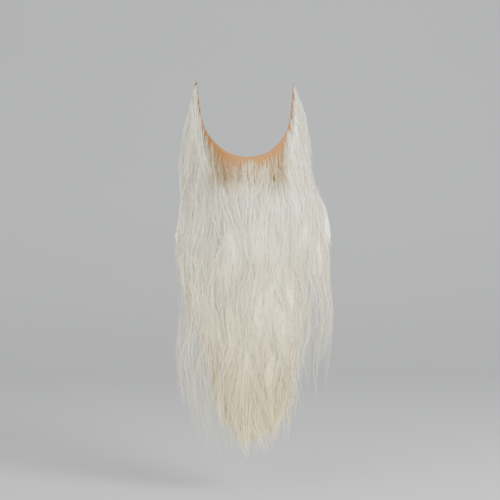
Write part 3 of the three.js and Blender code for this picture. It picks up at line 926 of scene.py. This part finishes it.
def tinted_with_painted_shade(tree, colour, variety):
    """Darker skin tones between the thin roots on the chin, more yellow low down, and painted shade in the
    hollows.
    """
    where = tree.nodes.new("ShaderNodeTexCoord").outputs["Object"]
    x, y, z = add_node(tree, "ShaderNodeSeparateXYZ", i0=where).outputs
    low = add_node(tree, "ShaderNodeMapRange", i0=z, i1=-0.05, i2=-0.33, i3=0.0, i4=1.0).outputs[0]
    colour = blend(tree, "MULTIPLY", low, colour, LOW_TINT)
    from_middle = maths(tree, "ABSOLUTE", maths(tree, "SUBTRACT", x, CHIN_MIDDLE))
    high = maths(tree, "SUBTRACT", 1.0, fades(tree, z, -0.045, 0.0))
    near = maths(tree, "MULTIPLY", high, fades(tree, from_middle, 0.045, 0.07))
    share = maths(tree, "MULTIPLY", near, maths(tree, "SUBTRACT", 1.1, variety))
    colour = blend(tree, "MULTIPLY", share, colour, ROOT_TINT)
    # Painted shade: the hollows beside the chin are darkened in the hair's colour.
    from_hollow = maths(tree, "ABSOLUTE", maths(tree, "SUBTRACT", from_middle, HOLLOW_PLACE))
    painted_hollow_shade = maths(tree, "MULTIPLY", fades(tree, from_hollow, 0.006, 0.022), high)
    return blend(tree, "MULTIPLY", painted_hollow_shade, colour, HOLLOW_PAINTED_SHADE)


print("tints of the hair:", LOW_TINT[:3], ROOT_TINT[:3], HOLLOW_PAINTED_SHADE[:3])

# %% [markdown]
# ## Finish of the loose hair
#
# Each hair has its own shade between straw and white, taken from the random number that the comb
# left on it. A real hair is a clear fibre with a soft shine, so the finish is fairly rough with a
# little sheen.

# %% Loose hair
hair_finish, tree, shader = new_finish("white_hair")
trait = add_node(tree, "ShaderNodeAttribute", {"attribute_name": "hair"}).outputs["Vector"]
tone = add_node(tree, "ShaderNodeSeparateXYZ", i0=trait).outputs[2]
tone = add_node(tree, "ShaderNodeMapRange", i0=tone, i1=-1.0, i2=1.0).outputs[0]
colour = ramp(
    tree, tone,
    (0, (0.42, 0.37, 0.26)),
    (0.3, (0.75, 0.71, 0.56)),
    (0.7, (0.94, 0.92, 0.76)),
    (1, (0.98, 0.97, 0.84)),
)
tree.links.new(tinted_with_painted_shade(tree, colour, tone), shader.inputs["Base Color"])
shader.inputs["Roughness"].default_value = 0.42
shader.inputs["Specular IOR Level"].default_value = 0.35
shader.inputs["Sheen Weight"].default_value = 0.15
print("white_hair:", len(tree.nodes), "nodes")

# %% [markdown]
# ## Finish of the dense hair
#
# On the bodies the hairs are only drawn. Noise that is stretched along the hair on the body's own UV
# map makes the streaks, and a second, coarser noise bends them into a crimp. The darker streaks and
# patches are partly the hairs' own tones and partly painted shade between hairs and locks. The finest
# streaks also cut the body away where its cover is low, so that it ends in loose strands and not at a
# hard edge.

# %% Dense hair
CRIMP_BEND = 0.009
body_finish, tree, shader = new_finish("dense_white_hair")
uv = add_node(tree, "ShaderNodeUVMap", {"uv_map": "strand"}).outputs[0]


def hair_noise(places, across_scale, down_scale, detail, roughness):
    """Noise on the hair's own map, stretched along the hair."""
    where = add_node(tree, "ShaderNodeMapping", Vector=places, Scale=(across_scale, down_scale, 1)).outputs[0]
    return add_node(
        tree, "ShaderNodeTexNoise", Vector=where, Scale=1.0, Detail=detail, Roughness=roughness
    ).outputs[0]


bent = maths(tree, "MULTIPLY", maths(tree, "SUBTRACT", hair_noise(uv, 130, 105, 1.0, 0.5), 0.5), CRIMP_BEND)
crimped_uv = vectors(tree, "ADD", uv, add_node(tree, "ShaderNodeCombineXYZ", i0=bent).outputs[0])
streak = hair_noise(crimped_uv, 420, 38, 4.0, 0.75)
patch = hair_noise(uv, 70, 7, 1.0, 0.5)
fine = maths(tree, "ADD", maths(tree, "MULTIPLY", streak, 0.8), maths(tree, "MULTIPLY", patch, 0.2))
# Painted shade: the dark end of this ramp stands partly for shade between hairs and locks, partly for their
# own tones.
colour = ramp(
    tree, fine,
    (0.36, (0.38, 0.33, 0.22)),
    (0.48, (0.72, 0.68, 0.52)),
    (0.6, (0.95, 0.92, 0.75)),
)
tree.links.new(tinted_with_painted_shade(tree, colour, streak), shader.inputs["Base Color"])
cover = add_node(tree, "ShaderNodeAttribute", {"attribute_name": "cover"}).outputs["Fac"]
edge = add_node(tree, "ShaderNodeMapRange", i0=cover, i1=0.0, i2=1.0, i3=0.66, i4=0.16).outputs[0]
above = maths(tree, "SUBTRACT", hair_noise(crimped_uv, 1500, 30, 2.0, 0.6), edge)
strand = add_node(tree, "ShaderNodeMapRange", i0=above, i1=-0.02, i2=0.03).outputs[0]
present = maths(tree, "MINIMUM", maths(tree, "MULTIPLY", cover, 12.0), 1.0)
tree.links.new(maths(tree, "MULTIPLY", strand, present), shader.inputs["Alpha"])
bump = add_node(tree, "ShaderNodeBump", Strength=0.5, Distance=0.0008, Height=streak).outputs[0]
tree.links.new(bump, shader.inputs["Normal"])
shader.inputs["Roughness"].default_value = 0.55
shader.inputs["Specular IOR Level"].default_value = 0.25
print("dense_white_hair:", len(tree.nodes), "nodes")

# %% [markdown]
# ## Finish of the net
#
# Tulle is a mesh of round holes in rows that are shifted by half a cell. Two square grids of holes,
# one shifted against the other, give the same pattern, and the nearest hole of either decides what
# is thread. The threads take the wearer's skin colour, and the holes let a little light through.

# %% Net
TULLE_CELL = 0.0012
net_finish, tree, shader = new_finish("flesh_tulle")
uv = add_node(tree, "ShaderNodeUVMap", {"uv_map": "strand"}).outputs[0]


def hole_distance(offset):
    """Distance to the nearest hole of one of the two interleaved grids, in cells."""
    per_metre = (1 / TULLE_CELL, 1 / TULLE_CELL, 1)
    moved = add_node(tree, "ShaderNodeMapping", Vector=uv, Scale=per_metre, Location=offset)
    wrapped = vectors(tree, "WRAP", moved.outputs[0], (0.5, 0.866, 1), (-0.5, -0.866, -1))
    return add_node(tree, "ShaderNodeVectorMath", {"operation": "LENGTH"}, i0=wrapped).outputs["Value"]


nearest = maths(tree, "MINIMUM", hole_distance((0, 0, 0)), hole_distance((0.5, 0.866, 0)))
thread = add_node(tree, "ShaderNodeMapRange", i0=nearest, i1=0.3, i2=0.4, i3=0.0, i4=1.0).outputs[0]
colour = blend(tree, "MIX", thread, (0.22, 0.09, 0.025, 1), (0.42, 0.2, 0.065, 1))
tree.links.new(colour, shader.inputs["Base Color"])
tree.links.new(maths(tree, "ADD", maths(tree, "MULTIPLY", thread, 0.25), 0.75), shader.inputs["Alpha"])
bump = add_node(tree, "ShaderNodeBump", Strength=0.5, Distance=0.0002, Height=thread).outputs[0]
tree.links.new(bump, shader.inputs["Normal"])
shader.inputs["Roughness"].default_value = 0.9
shader.inputs["Specular IOR Level"].default_value = 0.1
net.data.materials.append(net_finish)
print("flesh_tulle:", len(tree.nodes), "nodes")

# %% [markdown]
# ## The bundles
#
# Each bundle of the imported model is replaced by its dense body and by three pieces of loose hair:
# fine roots at the knots, the stretches down the fall, and the tips. The tips are the finest hairs
# and stray the most, because nothing holds them.

# %% Dress each bundle
pieces = []
for seed, name in enumerate(BUNDLES):
    edges = np.interp(BUNDLES[name][:2], ALONG_NET, ACROSS_FALL)
    inner = body(f"{name}_body", *mass(*edges))
    inner.data.materials.append(body_finish)
    roots, surface, tips = loose_wisps[name]
    groups = (
        combed(f"{name}_roots", roots, hair_finish, Hairs_in_a_wisp=4, Latest_start=0.02, Seed=seed + 1),
        combed(f"{name}_surface", surface, hair_finish, Hairs_in_a_wisp=15, Seed=seed + 11),
        combed(
            f"{name}_tips", tips, hair_finish, Hairs_in_a_wisp=11 if name == "chin_fall" else 8,
            Hair_radius=0.00011, Crimp_depth=0.0065, Stray=0.018, Latest_start=0.45, Shortest=0.6,
            Seed=seed + 21,
        ),
    )
    for piece in (inner, *groups):
        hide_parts(name)
        pieces.append(piece)
print(len(pieces), "pieces for", len(BUNDLES), "bundles")

# %% [markdown]
# ## Hair under the chin
#
# The hair that is knotted under the chin hangs behind the rest, where it can hardly be seen from the
# front. One thin body with a few stretches of wisps on its back finishes it plainly.

# %% Throat hair
inner = body("throat_fall_body", *mass(-0.4, 0.4, 0.7, (-0.7, -1.15)))
inner.data.materials.append(body_finish)
throat = surface_wisps(-0.3, 0.3, 0.8, 16, (-1.3, -1.15), REAR_WIDTH)
loose = combed("throat_fall_hairs", throat, hair_finish, Hairs_in_a_wisp=10, Seed=41)
for piece in (inner, loose):
    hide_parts("throat_fall")
    pieces.append(piece)

# %% [markdown]
# ## The tuft under the lip
#
# A small tuft grows between the lower lip and the chin. Its short wisps start close to the net's
# edge and lean together downwards.

# %% Lip tuft
TUFT_MIDDLE = 0.03
tuft = []
for along in TUFT_MIDDLE + random.normal(0, 0.045, 18):
    rooted, tip = random.uniform(0.0, 0.12), random.uniform(-0.03, -0.008)
    tuft.append(guide(along, rooted, 1.0, tip, 0.8, 0.003, -6 * (along - TUFT_MIDDLE), settle=0.03))
loose = combed(
    "lip_tuft_hairs", tuft, hair_finish,
    Hairs_in_a_wisp=5, Seed=31, Latest_start=0.1, Crimp_depth=0.003, Stray=0.005,
)
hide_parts("lip_tuft")
pieces.append(loose)

# %% [markdown]
# ## What the pieces are
#
# Nothing on the beard turns on an axis, so every piece rides on the one body. The net is a sheet of
# tulle that is held stretched over the jaw.

# %% Bodies of the pieces
for piece in pieces:
    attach(piece, "root")
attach(net, "root")
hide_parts("lace_net")
print(len(pieces) + 1, "pieces in all")

# %% [markdown]
# ## Studio
#
# A pale floor turns up into a backdrop without a corner, so that no line runs behind the beard. Its
# paper is a little grey, so that white hair stands out from it.

# %% Floor and backdrop
FLOOR_HEIGHT = cad_box[0][2] - 0.04
BACKDROP_HALF_WIDTH = 3.0
BACKDROP_PROFILE = (
    (-2.2, 0.0), (1.4, 0.0), (1.9, 0.05), (2.3, 0.25), (2.5, 0.6), (2.55, 1.0), (2.55, 3.0),
)
points = [
    (x, y, FLOOR_HEIGHT + z) for y, z in BACKDROP_PROFILE for x in (-BACKDROP_HALF_WIDTH, BACKDROP_HALF_WIDTH)
]
faces = [(2 * i, 2 * i + 1, 2 * i + 3, 2 * i + 2) for i in range(len(BACKDROP_PROFILE) - 1)]
backdrop = mesh_object("backdrop", points, faces)
paper, tree, shader = new_finish("pale_paper")
shader.inputs["Base Color"].default_value = (0.43, 0.436, 0.446, 1)
shader.inputs["Roughness"].default_value = 0.9
backdrop.data.materials.append(paper)
print("floor at", round(FLOOR_HEIGHT, 3), "m")

# %% [markdown]
# ## Lights
#
# One broad light from the upper right models the hair, a softer one from the left fills its shade,
# and an even white world lights the rest, as in a photographer's tent.


# %% Lights
def softbox(name, place, size, power):
    light = bpy.data.lights.new(name, "AREA")
    light.shape = "SQUARE"
    light.size = size
    light.energy = power
    obj = bpy.data.objects.new(name, light)
    obj.location = place
    obj.rotation_euler = (VIEW_CENTRE - Vector(place)).to_track_quat("-Z", "Y").to_euler()
    bpy.context.scene.collection.objects.link(obj)


softbox("key", (1.45, -1.4, 0.8), 1.2, 96)
softbox("fill", (-1.2, -1.7, 0.4), 1.6, 42)
world = bpy.data.worlds.new("studio")
world.use_nodes = True
world.node_tree.nodes["Background"].inputs[0].default_value = (1, 1, 1, 1)
world.node_tree.nodes["Background"].inputs[1].default_value = 0.95
bpy.context.scene.world = world
print("lights:", ", ".join(light.name for light in bpy.data.lights))
